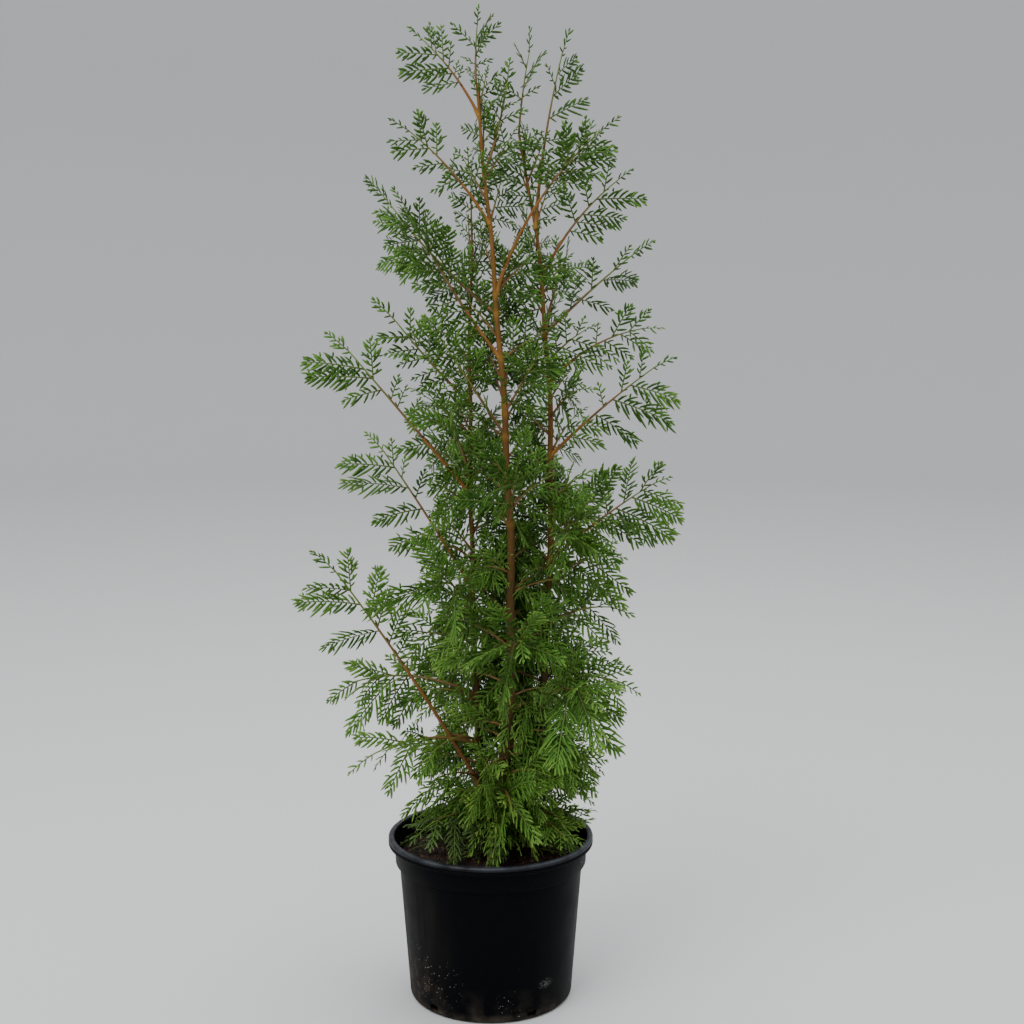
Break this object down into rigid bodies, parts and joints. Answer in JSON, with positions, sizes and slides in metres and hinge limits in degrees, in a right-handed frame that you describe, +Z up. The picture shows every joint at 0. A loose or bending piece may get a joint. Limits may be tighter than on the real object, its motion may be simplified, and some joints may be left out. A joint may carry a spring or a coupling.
{
  "type": "potted thuja",
  "caption": "Young thuja with three slender bare-topped stems and flat drooping sprays, growing in a round nursery pot with a rolled rim.",
  "frame": {"origin": "centre of the pot's flat underside", "axes": "+Z up along the pot's axis, +X to the plant's right as the picture shows it, +Y away from the viewer"},
  "size_m": [0.536, 0.396, 1.3173],
  "materials": {
    "pot": "black moulded plastic, slightly glossy at the rim, dusty and splashed with soil lower down",
    "soil": "damp bark compost, matt",
    "bark": "young reddish-brown bark, smooth with fine rings and paler joints",
    "foliage": "scale leaves, green with yellow-green tips, slightly waxy"
  },
  "bodies": {
    "root": {"pot": "pot", "soil": "soil", "stem_middle": "bark", "stem_right": "bark", "stem_left": "bark", "bough_long_left": "bark", "bough_shoulder_left": "bark", "bough_reach_left": "bark", "bough_upper_left": "bark", "bough_crown_left": "bark", "bough_top_left": "bark", "bough_reach_right": "bark", "bough_mid_right": "bark", "bough_arch_right": "bark", "bough_cross_right": "bark", "bough_crown_right": "bark", "bough_second_leader": "bark", "foliage_apron_left": "foliage", "foliage_skirt_left": "foliage", "foliage_long_left": "foliage", "foliage_low_left": "foliage", "foliage_shoulder_left": "foliage", "foliage_reach_left": "foliage", "foliage_inner_left": "foliage", "foliage_sweep_left": "foliage", "foliage_upper_left": "foliage", "foliage_veil_left": "foliage", "foliage_crown_left": "foliage", "foliage_top_left": "foliage", "foliage_apron_right": "foliage", "foliage_skirt_right": "foliage", "foliage_low_right": "foliage", "foliage_shoulder_right": "foliage", "foliage_reach_right": "foliage", "foliage_mid_right": "foliage", "foliage_inner_right": "foliage", "foliage_arch_right": "foliage", "foliage_airy_right": "foliage", "foliage_cross_right": "foliage", "foliage_crown_right": "foliage", "foliage_second_leader": "foliage", "foliage_top_right": "foliage", "foliage_front_1": "foliage", "foliage_front_2": "foliage", "foliage_front_3": "foliage", "foliage_front_4": "foliage", "foliage_front_5": "foliage", "foliage_front_6": "foliage", "foliage_front_7": "foliage", "foliage_front_8": "foliage", "foliage_back_1": "foliage", "foliage_back_2": "foliage", "foliage_back_3": "foliage", "foliage_back_4": "foliage", "foliage_back_5": "foliage", "foliage_back_6": "foliage", "foliage_back_7": "foliage", "foliage_middle_leader": "foliage", "foliage_right_leader": "foliage", "foliage_left_leader": "foliage"}
  },
  "joints": []
}
